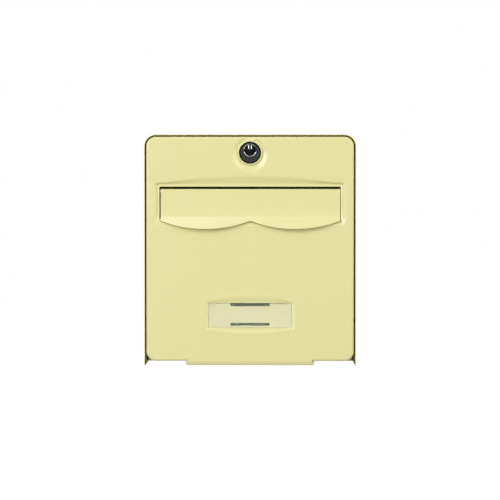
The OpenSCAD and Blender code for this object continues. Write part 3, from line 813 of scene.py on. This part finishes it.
def buildDoor():
    d, s = door, letterSlot
    bm = buildFace()
    rim, slotRim = cutHoles(bm)
    for v in bm.verts:
        x, z = v.co.x, v.co.z
        v.co.y = d["face"] + recessDepth(x, z) + dishDepth(x, z) + plateDepth(x, z)
    # the fold round the face and the flange behind it are left out where the knuckle is
    folded = [e for e in rim if not isLowEdge(e, knuckle["reliefHalf"])]
    rolled = [e for e in rim if isLowEdge(e, knuckle["half"])]
    for grow, back in quarterSteps(d["bendRadius"], d["bendSteps"]) + [(0, d["depth"] - d["bendRadius"])]:
        folded = extrudeRing(bm, folded, outAndBack, grow, back)
    slotFlange = s["flange"] - s["recessDepth"] - s["fold"]
    for grow, back in quarterSteps(s["fold"], s["foldSteps"]) + [(0, slotFlange)]:
        slotRim = extrudeRing(bm, slotRim, intoSlot, grow, back)
    rollKnuckle(bm, rolled)
    bmesh.ops.remove_doubles(bm, verts=bm.verts, dist=0.0005)
    bmesh.ops.recalc_face_normals(bm, faces=bm.faces)
    if max(bm.faces, key=lambda f: f.calc_area()).normal.y > 0:
        bmesh.ops.reverse_faces(bm, faces=bm.faces)
    bmesh.ops.scale(bm, vec=(mm, mm, mm), verts=bm.verts)
    piece = makePiece(bm, "pressedDoor", "door_panel", finish["creamPaint"], smoothAngle=50)
    shell = piece.modifiers.new("sheet", "SOLIDIFY")
    shell.thickness = d["sheet"] * mm
    shell.offset = -1
    shell.use_even_offset = True
    cutEdges = piece.modifiers.new("cutEdges", "BEVEL")
    cutEdges.width = d["cutEdge"] * mm
    cutEdges.segments = 2
    cutEdges.limit_method = "ANGLE"
    cutEdges.angle_limit = math.radians(60)
    print("pressed door:", len(piece.data.polygons), "faces before its sheet has thickness")


buildDoor()


# floor, room, lamps and camera, in metres

stage = {
    "floorDrop": 0.75, "floorBack": 2.0, "floorSize": 14.0, "floorColour": toLinear(150, 150, 149),
    "floorGlow": 0.93, "floorRoughness": 0.9, "floorSpecular": 0.1,
    "roomLevel": 0.2, "roomTint": (1.0, 0.94, 0.72, 1.0), "white": (1, 1, 1, 1),
}


def seenWhite(tree):
    # 1 on what is seen directly, in a gloss or through a clear piece, and 0 on what only lights the object
    rays = tree.nodes.new("ShaderNodeLightPath")
    mirrored = addMath(tree, "MAXIMUM", rays.outputs["Is Glossy Ray"], rays.outputs["Is Transmission Ray"])
    return addMath(tree, "MAXIMUM", rays.outputs["Is Camera Ray"], mirrored)


def buildFloor():
    bm = bmesh.new()
    bmesh.ops.create_grid(bm, x_segments=8, y_segments=8, size=stage["floorSize"] / 2)
    bmesh.ops.translate(bm, vec=(0, stage["floorBack"], -stage["floorDrop"]), verts=bm.verts)
    mesh = bpy.data.meshes.new("studioFloor")
    bm.to_mesh(mesh)
    bm.free()
    floor = bpy.data.objects.new("studioFloor", mesh)
    scene.collection.objects.link(floor)
    material = bpy.data.materials.new("studioFloor")
    material.use_nodes = True
    tree = material.node_tree
    shader = tree.nodes["Principled BSDF"]
    shader.inputs["Base Color"].default_value = stage["floorColour"]
    shader.inputs["Roughness"].default_value = stage["floorRoughness"]
    shader.inputs["Specular IOR Level"].default_value = stage["floorSpecular"]
    shader.inputs["Emission Color"].default_value = stage["white"]
    glow = addMath(tree, "MULTIPLY", seenWhite(tree), stage["floorGlow"])
    tree.links.new(glow, shader.inputs["Emission Strength"])
    mesh.materials.append(material)


def buildRoom():
    # white where it is seen, and a low warm light on the object
    world = bpy.data.worlds.new("studioRoom")
    scene.world = world
    world.use_nodes = True
    tree = world.node_tree
    background = tree.nodes["Background"]
    seen, dim = seenWhite(tree), stage["roomLevel"]
    level = addMath(tree, "ADD", addMath(tree, "MULTIPLY", seen, 1 - dim), dim)
    tree.links.new(level, background.inputs["Strength"])
    tree.links.new(addMix(tree, seen, stage["roomTint"], stage["white"]), background.inputs["Color"])


lamps = {
    "keyLamp": {"place": (-2.9, -4.0, 1.55), "size": (3.6, 2.8), "power": 161, "colour": (1, 1, 1)},
    "fillLamp": {"place": (3.1, -4.1, 1.35), "size": (4.6, 3.8), "power": 120, "colour": (1, 1, 1)},
    "topLamp": {"place": (-0.22, -0.64, 1.35), "size": (0.5, 0.26), "power": 1.7,
        "colour": (0.6, 0.74, 1.0), "tilt": 12},
}
lampAim = Vector((0, -0.36, 0))


def buildLamps():
    for name, lamp in lamps.items():
        data = bpy.data.lights.new(name, "AREA")
        data.shape = "RECTANGLE"
        data.size, data.size_y = lamp["size"]
        data.energy = lamp["power"]
        data.color = lamp["colour"]
        light = bpy.data.objects.new(name, data)
        scene.collection.objects.link(light)
        light.location = lamp["place"]
        if "tilt" in lamp:
            light.rotation_euler = (math.radians(lamp["tilt"]), 0, 0)  # hangs above, shining down
        else:
            light.rotation_euler = (lampAim - light.location).to_track_quat("-Z", "Y").to_euler()


view = {
    "aim": (0.0, -0.3615, 0.0005), "distance": 2.8, "right": 0.043, "up": 0.098,
    "framedWidth": 0.67075, "sensor": 36.0, "shiftUp": -0.03, "clip": (0.05, 60),
}


def buildCamera():
    data = bpy.data.cameras.new("studioCamera")
    camera = bpy.data.objects.new("studioCamera", data)
    scene.collection.objects.link(camera)
    aim = Vector(view["aim"])
    camera.location = aim + Vector((view["right"], -view["distance"], view["up"]))
    data.sensor_width = view["sensor"]
    data.lens = view["sensor"] * view["distance"] / view["framedWidth"]
    data.shift_y = view["shiftUp"]
    data.clip_start, data.clip_end = view["clip"]
    # the aim is moved back by the shift, so that the object stays in the middle
    aim -= Vector((0, 0, view["shiftUp"] * view["framedWidth"]))
    camera.rotation_euler = (aim - camera.location).to_track_quat("-Z", "Y").to_euler()
    scene.camera = camera


buildFloor()
buildRoom()
buildLamps()
buildCamera()
print("stage ready:", ", ".join(lamps))
